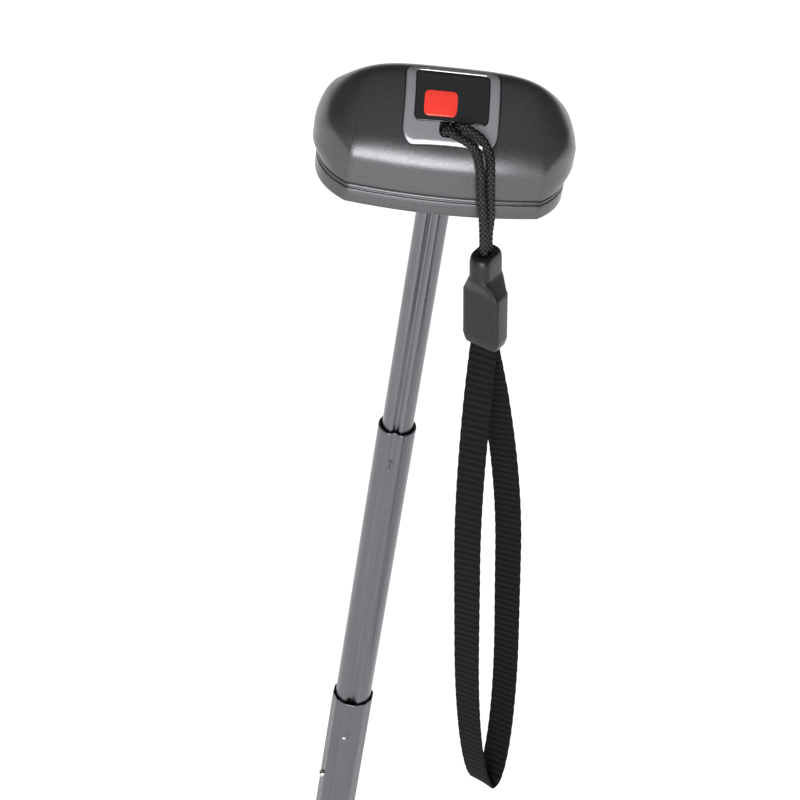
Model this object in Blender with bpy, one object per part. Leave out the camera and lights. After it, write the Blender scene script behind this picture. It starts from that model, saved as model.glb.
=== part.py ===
"""Telescopic umbrella shaft with its oval grip, badge and wrist strap (metres, +Z up the shaft)."""
import math

import bmesh
import bpy
from mathutils import Matrix, Vector

MM = 0.001

# ---- shaft, all in mm; z = 0 is the face of the plug in the outer tube's far (crown) end --------
PLUG_LIP = 3.0
OUTER_R, OUTER_WALL, OUTER_MOUTH = 5.7, 0.35, 133.0    # twelve-sided tube, radius over the corners
MID_R, MID_WALL, MID_MOUTH = 4.9, 0.35, 228.5          # tube mouths, shaft drawn right out
INNER_R, INNER_WALL, INNER_TOP = 4.0, 0.35, 318.5
OVERLAP = 22.0                                         # of each tube in the next one
FLUTE_MID, FLUTE_INNER, FLUTE_HALF = 0.95, 1.05, 26.0  # front flute: depths, half width in degrees
TUBE_TURN = -10.0                                      # the flutes sit a little left of the grip's front
DIMPLE_OUTER_Z, DIMPLE_MID_Z = 120.7, 219.4
CATCH_Z, CATCH_TURN, CATCH_R = 101.8, 200.0, 1.1

# ---- grip --------------------------------------------------------------------------------------
GRIP_Z = 303.6                                         # underside of the grip
CORNER_X, HALF_Y, END_X = 22.6, 15.0, 30.8             # plan: front corners, half depth, half length
BULGE = 2.2                                            # front and back bow out this far at mid length
LOWER_H, FACET_H, DOME_H = 4.75, 9.5, 13.8             # lower shell, straight wall, dome above it
DOME_PY, DOME_PX, EDGE_R = 1.8, 4.5, 2.6
TUCK, SHELL_WALL = 1.3, 2.2

# ---- badge and strap ---------------------------------------------------------------------------
BADGE_X0, BADGE_X1, BADGE_Y0, BADGE_Y1 = -11.4, 10.4, -14.7, 0.9
PANEL_X0, PANEL_X1, PANEL_Y0, PANEL_Y1 = -8.9, 7.8, -11.3, -0.5
TILE_X, TILE_Y, TILE_W, TILE_D = -3.2, -8.3, 7.6, 4.6
HOLE_X, HOLE_Y, HOLE_W, HOLE_D = -0.6, -12.5, 5.2, 2.9
CORD_D = 2.2
STRAP_X, STRAP_Y, STRAP_DROP = 11.5, -19.1, 7.3        # clip's top centre, below the grip
STRAP_TURN = math.radians(-32.0)                       # clip hangs turned this far
NECK_W, NECK_T, CLIP_W, CLIP_T = 5.4, 9.4, 9.8, 6.2
NECK_END, SHOULDER_END, CLIP_END = 6.0, 10.9, 26.0     # mm below the clip's top
WEB_W, WEB_T = 7.2, 1.0
WEB_TOP, LEGS_END, WEB_END = 19.8, 124.0, 177.5        # mm below the clip's top
NEAR_SPREAD, FAR_SPREAD, SPREAD_TURN = 5.2, 8.7, math.radians(-143.0)
LEAN = math.radians(8.2)


def clear_scene():
    for obj in list(bpy.data.objects):
        bpy.data.objects.remove(obj, do_unlink=True)
    for coll in list(bpy.data.collections):
        bpy.data.collections.remove(coll)


def material(name, colour, metallic, rough):
    mat = bpy.data.materials.new(name)
    mat.use_nodes = True
    mat.diffuse_color = (*colour, 1.0)
    shader = mat.node_tree.nodes["Principled BSDF"]
    shader.inputs["Base Color"].default_value = (*colour, 1.0)
    shader.inputs["Metallic"].default_value = metallic
    shader.inputs["Roughness"].default_value = rough
    return mat


clear_scene()
MAIN = bpy.data.collections.new("umbrella_grip_and_shaft")
CUTTERS = bpy.data.collections.new("cutters")
for group in (MAIN, CUTTERS):
    bpy.context.scene.collection.children.link(group)
CUTTERS.hide_render = True

PAINT = material("grip_paint", (0.10, 0.10, 0.11), 0.6, 0.38)
TUBE_METAL = material("tube_metal", (0.33, 0.33, 0.35), 0.9, 0.35)
SILVER = material("badge_silver", (0.42, 0.43, 0.46), 0.8, 0.3)
GLOSS_BLACK = material("panel_black", (0.01, 0.01, 0.012), 0.0, 0.08)
RED = material("tile_red", (0.75, 0.04, 0.03), 0.0, 0.3)
PLASTIC = material("clip_plastic", (0.02, 0.02, 0.024), 0.0, 0.42)
BUSH = material("bush_plastic", (0.05, 0.05, 0.05), 0.0, 0.5)
STEEL = material("bright_steel", (0.7, 0.68, 0.62), 1.0, 0.15)
CORD = material("cord_braid", (0.015, 0.015, 0.017), 0.0, 0.85)
WEB = material("strap_webbing", (0.008, 0.008, 0.01), 0.0, 0.9)


def finish(name, bm, mat, smooth=True, cutter=False):
    """Turn a bmesh built in millimetres into a named object."""
    bmesh.ops.recalc_face_normals(bm, faces=bm.faces)
    if bm.calc_volume(signed=True) < 0.0:
        bmesh.ops.reverse_faces(bm, faces=bm.faces)
    bm.transform(Matrix.Scale(MM, 4))
    mesh = bpy.data.meshes.new(name)
    bm.to_mesh(mesh)
    bm.free()
    obj = bpy.data.objects.new(name, mesh)
    (CUTTERS if cutter else MAIN).objects.link(obj)
    if cutter:
        obj.hide_render = True
        obj.display_type = "WIRE"
    else:
        mesh.materials.append(mat)
        if smooth:
            mesh.shade_smooth()
            mesh.set_sharp_from_angle(angle=math.radians(35))
    return obj


def skin(rings, close=False, cap=True):
    """Loft equal-length rings of (x, y, z) in mm; close joins the last ring to the first."""
    bm = bmesh.new()
    verts = [[bm.verts.new(p) for p in ring] for ring in rings]
    count = len(rings[0])
    pairs = list(zip(verts[:-1], verts[1:]))
    if close:
        pairs.append((verts[-1], verts[0]))
    for low, high in pairs:
        for i in range(count):
            j = (i + 1) % count
            bm.faces.new((low[i], low[j], high[j], high[i]))
    if cap and not close:
        bm.faces.new(list(reversed(verts[0])))
        bm.faces.new(verts[-1])
    return bm


def box(name, size, centre, mat, turn=0.0, bevel=0.0, cutter=False):
    bm = bmesh.new()
    bmesh.ops.create_cube(bm, size=1.0)
    bm.transform(Matrix.Diagonal((*size, 1.0)))
    if bevel:
        bmesh.ops.bevel(bm, geom=list(bm.edges), offset=bevel, segments=2, affect="EDGES")
    bm.transform(Matrix.Translation(centre) @ Matrix.Rotation(math.radians(turn), 4, "Z"))
    return finish(name, bm, mat, smooth=bool(bevel), cutter=cutter)


def rod(name, radius, start, end, mat, sides=24, cutter=False):
    """A plain cylinder between two points in mm."""
    a, b = Vector(start), Vector(end)
    bm = bmesh.new()
    bmesh.ops.create_cone(bm, cap_ends=True, segments=sides, radius1=radius, radius2=radius,
                          depth=(b - a).length)
    spin = (b - a).to_track_quat("Z", "Y").to_matrix().to_4x4()
    bm.transform(Matrix.Translation((a + b) / 2) @ spin)
    return finish(name, bm, mat, cutter=cutter)


def cut(obj, cutters):
    for tool in cutters:
        mod = obj.modifiers.new(tool.name, "BOOLEAN")
        mod.operation, mod.solver, mod.object = "DIFFERENCE", "EXACT", tool


# ---- tube sections -----------------------------------------------------------------------------
STEPS = 72


def fluted(radius, flute, half=FLUTE_HALF):
    """Round section with one rounded flute at the front, as (angle, radius) pairs."""
    section = []
    for i in range(STEPS):
        ang = i * 360.0 / STEPS
        off = abs((ang - 270.0 + 180.0) % 360.0 - 180.0) / half
        dip = flute * math.cos(off * math.pi / 2) ** 2 if off < 1 else 0.0
        section.append((ang, radius - dip))
    return section


def faceted(corner_r, inset=0.0):
    """Twelve-sided section, a flat at the front, as (angle, radius) pairs."""
    flat = corner_r * math.cos(math.pi / 12) - inset
    section = []
    for i in range(STEPS):
        ang = i * 360.0 / STEPS
        off = (ang + 15.0) % 30.0 - 15.0
        section.append((ang, flat / math.cos(math.radians(off))))
    return section


def ring(section, z, dent=None):
    """One ring of a tube; dent = (z, depth, reach) presses the front in."""
    points = []
    for ang, radius in section:
        if dent:
            across = ((ang - 270.0 + 180.0) % 360.0 - 180.0) * math.pi / 180.0 * radius
            reach = math.hypot(across, z - dent[0]) / dent[2]
            if reach < 1:
                radius -= dent[1] * math.cos(reach * math.pi / 2) ** 2
        turned = math.radians(ang + TUBE_TURN)
        points.append((radius * math.cos(turned), radius * math.sin(turned), z))
    return points


def tube(name, outer, inner, z0, z1, dent=None):
    levels = [z0, z1]
    if dent:
        levels += [dent[0] + dent[2] * k for k in (-1.0, -0.6, -0.3, 0.0, 0.3, 0.6, 1.0)]
    levels.sort()
    rings = [ring(outer, z, dent) for z in levels] + [ring(inner, z, dent) for z in reversed(levels)]
    return finish(name, skin(rings, close=True), TUBE_METAL)


outer_tube = tube("outer_tube", faceted(OUTER_R), faceted(OUTER_R, OUTER_WALL), PLUG_LIP, OUTER_MOUTH,
                  (DIMPLE_OUTER_Z, 0.55, 1.35))
mid_tube = tube("mid_tube", fluted(MID_R, FLUTE_MID), fluted(MID_R - MID_WALL, FLUTE_MID),
                OUTER_MOUTH - OVERLAP, MID_MOUTH, (DIMPLE_MID_Z, 0.35, 0.8))
inner_tube = tube("inner_tube", fluted(INNER_R, FLUTE_INNER),
                  fluted(INNER_R - INNER_WALL, FLUTE_INNER), MID_MOUTH - OVERLAP, INNER_TOP)


def end_bush(name, z_end, spigot, flange, tongue_r, tongue_top, thick):
    """Bush under a tube's end: flange, spigot inside the tube, tongue up the front flute."""
    rings = [ring(flange, z_end - 2.2), ring(flange, z_end - 0.1),
             ring(spigot, z_end - 0.1), ring(spigot, z_end + 6.0)]
    body = finish(name, skin(rings), BUSH)
    turned = math.radians(270.0 + TUBE_TURN)
    mid_r = tongue_r + thick / 2
    low = z_end - 1.0
    tongue = box(name + "_tongue", (thick, 0.8, tongue_top - low),
                 (mid_r * math.cos(turned), mid_r * math.sin(turned), (low + tongue_top) / 2),
                 BUSH, turn=270.0 + TUBE_TURN, cutter=True)
    join = body.modifiers.new("tongue", "BOOLEAN")
    join.operation, join.solver, join.object = "UNION", "EXACT", tongue
    return body


mid_bush = end_bush("mid_tube_bush", OUTER_MOUTH - OVERLAP, fluted(MID_R - MID_WALL - 0.1, FLUTE_MID),
                    faceted(OUTER_R, OUTER_WALL + 0.12), 4.15, 119.0, 0.75)
inner_bush = end_bush("inner_tube_bush", MID_MOUTH - OVERLAP,
                      fluted(INNER_R - INNER_WALL - 0.1, FLUTE_INNER),
                      fluted(MID_R - MID_WALL - 0.1, FLUTE_MID + 0.05), 3.22, 217.2, 0.30)

# end plug that closes the outer tube where the crown fits on
plug_rings = [ring(faceted(OUTER_R), 0.0), ring(faceted(OUTER_R), PLUG_LIP - 0.03),
              ring(faceted(OUTER_R, OUTER_WALL + 0.05), PLUG_LIP - 0.03),
              ring(faceted(OUTER_R, OUTER_WALL + 0.05), 11.0)]
end_plug = finish("crown_end_plug", skin(plug_rings), BUSH)
RIVET_Z = 7.0
cross_cut = rod("crown_rivet_cut", 1.03, (-7.5, 0, RIVET_Z), (7.5, 0, RIVET_Z), None, cutter=True)
cut(outer_tube, [cross_cut])
cut(end_plug, [cross_cut])
rod("crown_rivet", 1.0, (-5.45, 0, RIVET_Z), (5.45, 0, RIVET_Z), STEEL)

# ---- ball catch --------------------------------------------------------------------------------
catch_dir = Vector((math.cos(math.radians(CATCH_TURN)), math.sin(math.radians(CATCH_TURN)), 0.0))
catch_mid = catch_dir * 5.5 + Vector((0, 0, CATCH_Z))
catch_cut = rod("catch_hole_cut", CATCH_R + 0.12, catch_mid - catch_dir * 0.9, catch_mid + catch_dir * 2,
                None, cutter=True)
cut(outer_tube, [catch_cut])
catch_side = catch_dir.cross(Vector((0, 0, 1)))
ball_rings = []
for along, wide in ((-0.38, 1.0), (-0.28, 1.08), (0.0, 1.1), (0.3, 1.06), (0.6, 0.92), (0.85, 0.70),
                    (1.02, 0.41), (1.09, 0.12)):
    centre = catch_mid + catch_dir * along
    ball_rings.append([tuple(centre + catch_side * wide * math.cos(k * math.tau / 20)
                             + Vector((0, 0, wide * math.sin(k * math.tau / 20)))) for k in range(20)])
finish("catch_ball", skin(ball_rings), STEEL)

leaf_mid = catch_dir * 5.02 + Vector((0, 0, CATCH_Z - 7.0))
box("catch_leaf_spring", (0.10, 1.6, 17.0), leaf_mid, STEEL, turn=CATCH_TURN)

# ---- grip shells -------------------------------------------------------------------------------


def bezier(p0, p1, p2, p3, t):
    s = 1.0 - t
    return tuple(s ** 3 * a + 3 * s * s * t * b + 3 * s * t * t * c + t ** 3 * d
                 for a, b, c, d in zip(p0, p1, p2, p3))


def bow(x, corner=CORNER_X):
    """How far the front and back stand out beyond the corners at x."""
    return BULGE * max(0.0, 1.0 - (x / corner) ** 2)


def plan(inset=0.0, end_inset=0.0):
    """Grip outline, anticlockwise from the front left corner; end_inset pulls in the ends only."""
    corner, depth, end = CORNER_X, HALF_Y - inset, END_X - inset - end_inset
    corner -= inset * 0.36
    p0 = (corner, -depth)
    p1 = (corner + 4.6 * math.cos(math.radians(40)), -depth + 4.6 * math.sin(math.radians(40)))
    quarter = [bezier(p0, p1, (end, -7.5), (end, 0.0), k / 12) for k in range(12)]
    half = [(x, -depth - bow(x, corner)) for x in (corner * (k / 8 - 1) for k in range(16))]
    half += quarter + [(end, 0.0)] + [(x, -y) for x, y in reversed(quarter[1:])]
    return half + [(-x, -y) for x, y in half]


def dome(x, y, lift=0.0):
    """Height of the grip's unrounded top above GRIP_Z."""
    across = max(0.0, 1.0 - abs(y / (HALF_Y + bow(x))) ** DOME_PY)
    along = max(0.0, 1.0 - abs(x / END_X) ** DOME_PX)
    return LOWER_H + FACET_H + DOME_H * across * along + lift


def surface(x, y, lift=0.0):
    """Height of the grip's skin, its front and back edges rounded over."""
    into = min(1.0, max(0.0, (HALF_Y + bow(x) - abs(y)) / EDGE_R))
    return dome(x, y, lift) - EDGE_R * (1.0 - math.sqrt(1.0 - (1.0 - into) ** 2))


def shrink(outline, k):
    return [(x * k, y * k) for x, y in outline]


def shell_rings(offset, base, steps, dome_steps):
    """Rings of the upper shell's surface, offset mm inside the outer skin, from base upwards."""
    rings = []
    radius = max(EDGE_R - offset, 0.6)
    tops = [dome(x, y, -offset) for x, y in plan(0.0)]
    for k in range(steps + 1):
        t = k / steps
        pull = TUCK * max(0.0, 1.0 - 2.2 * t) ** 2
        outline = plan(offset, pull)
        rings.append([(x, y, base + (top - radius - base) * t)
                      for (x, y), top in zip(outline, tops)])
    for k in range(1, 6):
        u = 1.0 - math.cos(k * math.pi / 10)
        outline = plan(offset + radius * u)
        drop = radius * (1.0 - math.sin(k * math.pi / 10))
        rings.append([(x, y, dome(x, y, -offset) - drop) for x, y in outline])
    inner = plan(offset + radius)
    for k in range(1, dome_steps):
        outline = shrink(inner, 1.0 - k / dome_steps)
        rings.append([(x, y, dome(x, y, -offset)) for x, y in outline])
    return rings


def lift(rings, dz):
    return [[(x, y, z + dz) for x, y, z in r] for r in rings]


SEAM = LOWER_H + 0.15
outside = shell_rings(0.0, SEAM, 4, 9)
inside = shell_rings(SHELL_WALL, SEAM, 3, 5)
chamfer = [(x, y, SEAM) for x, y in plan(0.55, TUCK)]
outside = [chamfer] + [[(x, y, z + (0.55 if n == 0 else 0.0)) for x, y, z in r]
                       for n, r in enumerate(outside)]
bm = skin(lift(list(reversed(inside)) + outside, GRIP_Z))
upper_shell = finish("grip_upper_shell", bm, PAINT)

lower = [plan(2.2, TUCK), plan(0.5, TUCK), plan(0.2, TUCK), plan(0.05, TUCK), plan(0.0, TUCK),
         plan(0.55, TUCK)]
heights = [0.0, 0.0, 0.1, 0.4, LOWER_H - 0.6, LOWER_H - 0.1]
rings = [[(x, y, z) for x, y in o] for o, z in zip(lower, heights)]
rings += [[(x, y, LOWER_H - 0.1) for x, y in plan(SHELL_WALL + 0.2, TUCK)],
          [(x, y, 1.8) for x, y in plan(SHELL_WALL + 0.2, TUCK)]]
lower_shell = finish("grip_lower_shell", skin(lift(rings, GRIP_Z)), PAINT)

G = GRIP_Z
sleeve_cut = rod("sleeve_cut", INNER_R + 0.35, (0, 0, G - 2), (0, 0, G + 4), None, 48, True)
screw_cuts = []
for n, sx in (("left", -1), ("right", 1)):
    for what, r, top in (("head", 2.4, 1.1), ("shank", 1.35, 4.0)):
        screw_cuts.append(rod(f"screw_{n}_{what}_cut", r, (18 * sx, 0, G - 1), (18 * sx, 0, G + top),
                              None, 24, True))
cut(lower_shell, [sleeve_cut] + screw_cuts)

# screw bosses hang from the upper shell's inside, open at their lower ends
for n, sx in (("left", -1), ("right", 1)):
    boss = rod(f"boss_{n}", 3.0, (18 * sx, 0, G + 2.2), (18 * sx, 0, G + 26.3), None, 24, True)
    join = upper_shell.modifiers.new(boss.name, "BOOLEAN")
    join.operation, join.solver, join.object = "UNION", "EXACT", boss
    hole = rod(f"boss_{n}_hole", 1.15, (18 * sx, 0, G + 1.0), (18 * sx, 0, G + 12.2), None, 20, True)
    cut(upper_shell, [hole])
    profile = ((0.35, 0.05), (2.1, 0.05), (2.1, 0.75), (1.1, 1.05), (1.1, 11.0), (0.3, 11.8))
    rows = [[(r * math.cos(a * math.tau / 24) + 18 * sx, r * math.sin(a * math.tau / 24), G + z)
             for a in range(24)] for r, z in profile]
    finish(f"shell_screw_{n}", skin(rows), STEEL)

# tube socket inside the grip, pinned across
socket_rows = []
for r, z in ((7.0, 2.1), (7.0, 4.6), (5.6, 5.2), (5.6, 14.0), (4.12, 14.0), (4.12, 2.1)):
    socket_rows.append([(r * math.cos(a * math.tau / 48), r * math.sin(a * math.tau / 48), G + z)
                        for a in range(48)])
socket = finish("tube_socket", skin(socket_rows, close=True), BUSH)
pin_cut = rod("pin_cut", 1.03, (-7, 0, G + 10.0), (7, 0, G + 10.0), None, 24, True)
cut(socket, [pin_cut])
cut(inner_tube, [pin_cut])
rod("tube_cross_pin", 1.0, (-5.5, 0, G + 10.0), (5.5, 0, G + 10.0), STEEL)

# ---- badge -------------------------------------------------------------------------------------


def rounded(x0, x1, y0, y1, radius, count=12):
    """Rounded rectangle, anticlockwise, with extra points along its straight sides."""
    points = []
    corners = ((x1 - radius, y0 + radius, -90), (x1 - radius, y1 - radius, 0),
               (x0 + radius, y1 - radius, 90), (x0 + radius, y0 + radius, 180))
    for n, (cx, cy, start) in enumerate(corners):
        arc = [(cx + radius * math.cos(math.radians(start + 90 * k / 4)),
                cy + radius * math.sin(math.radians(start + 90 * k / 4))) for k in range(5)]
        nx, ny, nstart = corners[(n + 1) % 4]
        first = (nx + radius * math.cos(math.radians(nstart)), ny + radius * math.sin(math.radians(nstart)))
        points += arc
        points += [tuple(a + (b - a) * k / 8 for a, b in zip(arc[-1], first)) for k in range(1, 8)]
    return points


def centre_of(outline):
    return (sum(p[0] for p in outline) / len(outline), sum(p[1] for p in outline) / len(outline))


def toward(outline, k):
    cx, cy = centre_of(outline)
    return [(cx + (x - cx) * k, cy + (y - cy) * k) for x, y in outline]


def on_dome(outline, height):
    return [(x, y, G + surface(x, y, height)) for x, y in outline]


def conformal_plate(name, outline, low, high, mat, soft=0.25, cutter=False):
    """A plate that follows the dome, low to high mm above it."""
    size = min(max(p[0] for p in outline) - min(p[0] for p in outline),
               max(p[1] for p in outline) - min(p[1] for p in outline))
    rows = [on_dome(toward(outline, k), low) for k in (0.12, 0.4, 0.7, 1.0)]
    if soft:
        rows.append(on_dome(outline, high - soft))
        rows.append(on_dome(toward(outline, 1.0 - 0.6 * soft / size), high - soft * 0.3))
    else:
        rows.append(on_dome(outline, high))
    rows += [on_dome(toward(outline, k), high) for k in (1.0 - 2.0 * soft / size, 0.7, 0.4, 0.12)]
    return finish(name, skin(rows), mat, cutter=cutter)


frame_outline = rounded(BADGE_X0, BADGE_X1, BADGE_Y0, BADGE_Y1, 2.6)
recess = conformal_plate("badge_recess_cut", rounded(BADGE_X0 - 0.35, BADGE_X1 + 0.35, BADGE_Y0 - 0.35,
                                                     BADGE_Y1 + 0.35, 2.9), -1.05, 4.0, None, 0.0, True)
window = rounded(PANEL_X0 - 0.2, PANEL_X1 + 0.2, PANEL_Y0 - 0.2, PANEL_Y1 + 0.2, 1.2)
between = [((a + c) / 2, (b + d) / 2) for (a, b), (c, d) in zip(window, frame_outline)]
frame_rows = [on_dome(window, -0.6), on_dome(between, -0.6), on_dome(frame_outline, -0.6),
              on_dome(frame_outline, 0.05),
              on_dome(toward(frame_outline, 0.985), 0.27), on_dome(toward(frame_outline, 0.95), 0.35),
              on_dome(toward(window, 1.03), 0.35), on_dome(window, 0.2)]
badge_frame = finish("badge_frame", skin(frame_rows, close=True), SILVER)
conformal_plate("badge_panel", rounded(PANEL_X0, PANEL_X1, PANEL_Y0, PANEL_Y1, 1.0), -0.6, 0.1,
                GLOSS_BLACK, 0.12)
conformal_plate("badge_tile", rounded(TILE_X - TILE_W / 2, TILE_X + TILE_W / 2, TILE_Y - TILE_D / 2,
                                      TILE_Y + TILE_D / 2, 1.1), 0.13, 0.5, RED, 0.15)
hole_top = G + 30.0
cord_cut = finish("cord_hole_cut", skin([
    [(x, y, z) for x, y in rounded(HOLE_X - HOLE_W / 2, HOLE_X + HOLE_W / 2, HOLE_Y - HOLE_D / 2,
                                   HOLE_Y + HOLE_D / 2, 1.1)] for z in (G + 13.9, hole_top)]), None,
    cutter=True)
cut(upper_shell, [recess, cord_cut])
cut(badge_frame, [cord_cut])

# ---- wrist strap: anchor pin, cord, clip, webbing ----------------------------------------------
rod("strap_anchor_pin", 0.9, (-6.4, -9.6, G + 11.6), (5.2, -9.6, G + 11.6), STEEL, 20)
for n, x in (("left", -5.2), ("right", 4.0)):
    lug = box(f"anchor_lug_{n}", (1.6, 7.6, 4.2), (x, -11.6, G + 11.6), None, cutter=True)
    join = upper_shell.modifiers.new(lug.name, "BOOLEAN")
    join.operation, join.solver, join.object = "UNION", "EXACT", lug
cut(upper_shell, [rod("anchor_pin_cut", 0.95, (-7, -9.6, G + 11.6), (6, -9.6, G + 11.6), None, 20, True)])


def smooth_path(points, step):
    """Catmull-Rom curve through points, read every step mm."""
    pts = [Vector(p) for p in points]
    pts = [pts[0] * 2 - pts[1]] + pts + [pts[-1] * 2 - pts[-2]]
    fine = []
    for a, b, c, d in zip(pts, pts[1:], pts[2:], pts[3:]):
        for k in range(24):
            t = k / 24
            fine.append(0.5 * (2 * b + (c - a) * t + (2 * a - 5 * b + 4 * c - d) * t * t
                               + (3 * b - a - 3 * c + d) * t ** 3))
    fine.append(pts[-2])
    out, walked = [fine[0]], 0.0
    for p, q in zip(fine, fine[1:]):
        walked += (q - p).length
        if walked >= step:
            out.append(q)
            walked = 0.0
    if (out[-1] - fine[-1]).length < step * 0.4:
        out.pop()
    return out + [fine[-1]]


def cord(name, points, step=1.1):
    curve = bpy.data.curves.new(name, "CURVE")
    curve.dimensions = "3D"
    path = smooth_path(points, step)
    spline = curve.splines.new("POLY")
    spline.points.add(len(path) - 1)
    for slot, p in zip(spline.points, path):
        slot.co = (*(p * MM), 1.0)
    curve.bevel_depth = CORD_D / 2 * MM
    curve.bevel_resolution = 2
    curve.use_fill_caps = True
    curve.materials.append(CORD)
    obj = bpy.data.objects.new(name, curve)
    MAIN.objects.link(obj)
    return obj


def above(x, y, height=1.45):
    """A point height mm off the dome's skin, square to it."""
    slope = Vector((-(dome(x + 0.05, y) - dome(x - 0.05, y)) / 0.1,
                    -(dome(x, y + 0.05) - dome(x, y - 0.05)) / 0.1, 1.0)).normalized()
    return Vector((x, y, G + surface(x, y))) + slope * height


PIVOT = Vector((8.4, -18.3, G + 13.0))
STRAND = 1.15                                          # half the spacing of the two strands
right_run = [PIVOT + Vector((STRAND, 0, 0.15)), above(8.7, -15.3, 1.35), above(6.6, -13.6, 1.65),
             above(3.9, -12.6, 1.75), above(1.7, -11.7, 1.9), Vector((0.6, -12.45, G + 18.4))]
round_pin = [Vector((0.6, -12.5, G + 16.0)), Vector((0.6, -12.1, G + 12.6)),
             Vector((0.3, -10.4, G + 9.5)), Vector((-0.5, -7.9, G + 10.2)),
             Vector((-1.3, -7.6, G + 12.6)), Vector((-1.7, -9.6, G + 13.9)),
             Vector((-1.8, -12.0, G + 15.4))]
left_run = [Vector((-1.8, -12.6, G + 18.0)), above(-1.4, -12.6, 1.9), above(0.5, -13.5, 1.8),
            above(2.9, -14.15, 1.7), above(5.4, -15.1, 1.45), PIVOT + Vector((-STRAND, 0, 0.15))]
cord("strap_cord_top", right_run + round_pin + left_run)


STRAP_WIDE = Vector((math.cos(STRAP_TURN), math.sin(STRAP_TURN), 0.0))
STRAP_FACE = Vector((math.sin(STRAP_TURN), -math.cos(STRAP_TURN), 0.0))


def strap_point(down, across=0.0, out=0.0):
    """Point on the hanging strap, down mm under the clip's top; across and out follow its turn."""
    centre = Vector((STRAP_X + math.sin(LEAN) * down, STRAP_Y,
                     G - STRAP_DROP - math.cos(LEAN) * down))
    return centre + STRAP_WIDE * across + STRAP_FACE * out


for n, side in (("left", 1), ("right", -1)):
    top = PIVOT + Vector((-STRAND * side, 0, -0.4))
    turned = [Vector((-math.cos(math.radians(k)), -math.sin(math.radians(k)), 0)) * STRAND * side
              for k in (12, 36)]
    cord(f"strap_cord_{n}", [top, PIVOT + turned[0] + Vector((0.6, -0.2, -4.0)),
                             PIVOT + turned[1] + Vector((1.9, -0.5, -11.0)),
                             strap_point(-4.0, 0, STRAND * side), strap_point(1.8, 0, STRAND * side)])


def clip_ring(down, half_w, half_t):
    points = []
    for k in range(32):
        ca, sa = math.cos(k * math.tau / 32), math.sin(k * math.tau / 32)
        across = half_w * math.copysign(abs(ca) ** 0.4, ca)
        out = half_t * math.copysign(abs(sa) ** 0.4, sa)
        points.append(tuple(strap_point(down, across, out)))
    return points


neck_w, neck_t, body_w, body_t = NECK_W / 2, NECK_T / 2, CLIP_W / 2, CLIP_T / 2
neck = finish("strap_clip_neck", skin([clip_ring(d, neck_w * w, neck_t * t) for d, w, t in (
    (0.0, 0.62, 0.50), (0.4, 0.80, 0.68), (1.3, 0.95, 0.86), (2.8, 1.0, 0.97), (4.2, 1.0, 1.0),
    (NECK_END - 0.3, 1.0, 1.0), (NECK_END - 0.1, 0.96, 0.97))]), PLASTIC)
body = finish("strap_clip_body", skin([clip_ring(*row) for row in (
    (NECK_END + 0.1, neck_w * 0.96, neck_t * 0.97), (NECK_END + 0.3, neck_w, neck_t),
    (SHOULDER_END, body_w, body_t), (CLIP_END - 2.6, body_w, body_t), (CLIP_END - 0.4, 4.4, 2.9),
    (CLIP_END, 4.15, 2.6))]), PLASTIC)
cut(neck, [rod(f"clip_cord_cut_{n}", CORD_D / 2 + 0.2, strap_point(-2, 0, STRAND * side),
               strap_point(2.3, 0, STRAND * side), None, 20, True)
           for n, side in (("left", 1), ("right", -1))])
slot = skin([[tuple(strap_point(d, x, y))
              for x, y in ((-3.75, -1.5), (3.75, -1.5), (3.75, 1.5), (-3.75, 1.5))]
             for d in (WEB_TOP - 0.5, CLIP_END + 2.0)])
cut(body, [finish("clip_web_cut", slot, None, cutter=True)])


WEB_TURNS = ((0.0, -32.0), (26.0, -32.0), (42.0, -20.0), (100.0, -24.0), (150.0, -32.0), (180.0, -34.0))
SPREAD = Vector((math.cos(SPREAD_TURN), math.sin(SPREAD_TURN), 0.0))


def across_at(down):
    """Direction of the webbing's width at a level; it is twisted a little as it hangs."""
    for (d0, t0), (d1, t1) in zip(WEB_TURNS, WEB_TURNS[1:]):
        if down <= d1:
            break
    turn = math.radians(t0 + (t1 - t0) * (down - d0) / (d1 - d0))
    return Vector((math.cos(turn), math.sin(turn), 0.0))


def leg_shift(down, side):
    """How far a leg stands off the strap's middle; side is +1 for the near leg."""
    opened = min(1.0, max(0.0, (down - CLIP_END - 1.0) / 70.0))
    reach = NEAR_SPREAD if side > 0 else FAR_SPREAD
    return (STRAP_FACE * (0.65 * (1.0 - opened)) + SPREAD * (reach * math.sin(opened * math.pi / 2))) * side


def webbing():
    """One flat band: down the near leg, round the bottom, up the far leg."""
    levels = [WEB_TOP + (LEGS_END - WEB_TOP) * k / 20 for k in range(21)]
    near, far = leg_shift(LEGS_END, 1), leg_shift(LEGS_END, -1)
    path = [(d, strap_point(d) + leg_shift(d, 1)) for d in levels]
    for k in range(1, 20):
        down = LEGS_END + (WEB_END - LEGS_END) * math.sin(math.pi * k / 20)
        shift = (near + far) / 2 + (near - far) / 2 * math.cos(math.pi * k / 20)
        path.append((down, strap_point(down) + shift))
    path += [(d, strap_point(d) + leg_shift(d, -1)) for d in reversed(levels)]
    rows = []
    for n, (down, p) in enumerate(path):
        run = (path[min(len(path) - 1, n + 1)][1] - path[max(0, n - 1)][1]).normalized()
        wide = across_at(down)
        wide = (wide - run * wide.dot(run)).normalized()
        thick = run.cross(wide)
        rows.append([tuple(p + wide * (sx * WEB_W / 2) + thick * (st * WEB_T / 2))
                     for sx, st in ((-1, -1), (0, -1), (1, -1), (1, 1), (0, 1), (-1, 1))])
    return finish("strap_webbing", skin(rows), WEB)


webbing()
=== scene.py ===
import math

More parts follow.
